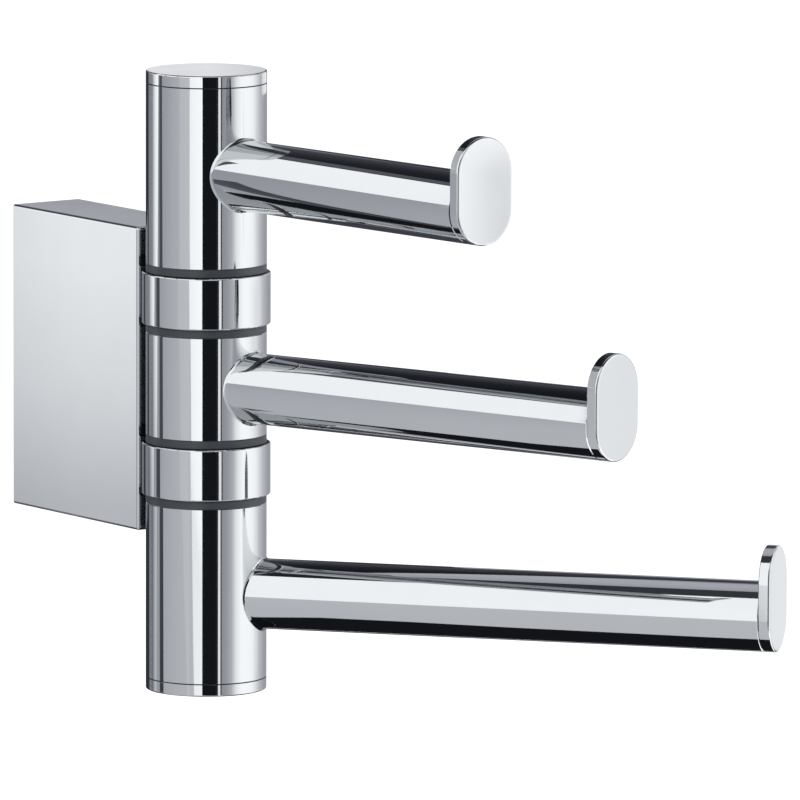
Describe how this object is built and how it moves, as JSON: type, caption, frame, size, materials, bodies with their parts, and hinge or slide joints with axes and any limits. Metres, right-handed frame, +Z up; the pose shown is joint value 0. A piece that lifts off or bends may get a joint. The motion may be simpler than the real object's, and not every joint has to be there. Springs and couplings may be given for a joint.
{
  "type": "towel hook",
  "caption": "Chrome wall-mounted towel hook: round arms of growing length with lipped end caps swing on an upright column in front of a narrow hollow mounting block.",
  "frame": {"origin": "on the wall plane, midway between the two wall screw holes, at the middle of the mounting block", "axes": "+Z up, +Y into the wall, +X to the right for someone who faces the wall; the arms stand out along -Y"},
  "size_m": [0.092, 0.1545, 0.1236],
  "materials": {
    "polished_chrome": "polished chrome plate",
    "dark_bush": "moulded, matt",
    "plain_steel": "plain turned steel",
    "bracket_steel": "zinc plated"
  },
  "bodies": {
    "root": {"wall_plate": "bracket_steel", "mounting_block": "polished_chrome", "block_grub_screw": "plain_steel", "upper_ring": "polished_chrome", "lower_ring": "polished_chrome", "ring_screws": "plain_steel", "spindle": "plain_steel", "spindle_nuts": "plain_steel", "disc_springs": "plain_steel"},
    "upper_arm": {"upper_barrel": "polished_chrome", "upper_flanged_bush": "dark_bush", "upper_nut_bush": "dark_bush", "column_top_cap": "polished_chrome", "upper_arm_bar": "polished_chrome", "upper_arm_stud": "plain_steel", "upper_end_cap": "polished_chrome"},
    "middle_arm": {"middle_barrel": "polished_chrome", "middle_top_bush": "dark_bush", "middle_bottom_bush": "dark_bush", "middle_arm_bar": "polished_chrome", "middle_arm_stud": "plain_steel", "middle_end_cap": "polished_chrome"},
    "lower_arm": {"lower_barrel": "polished_chrome", "lower_flanged_bush": "dark_bush", "lower_nut_bush": "dark_bush", "column_bottom_cap": "polished_chrome", "lower_arm_bar": "polished_chrome", "lower_arm_stud": "plain_steel", "lower_end_cap": "polished_chrome"}
  },
  "joints": [
    {"name": "upper_swing", "type": "hinge", "parent": "root", "child": "upper_arm", "pos_m": [0, -0.05725, 0.04255], "axis": [0, 0, 1], "range_deg": [-95.6, 84.4]},
    {"name": "middle_swing", "type": "hinge", "parent": "root", "child": "middle_arm", "pos_m": [0, -0.05725, -0.00005], "axis": [0, 0, 1], "range_deg": [-108.4, 71.6]},
    {"name": "lower_swing", "type": "hinge", "parent": "root", "child": "lower_arm", "pos_m": [0, -0.05725, -0.04165], "axis": [0, 0, 1], "range_deg": [-129.2, 50.8]}
  ]
}
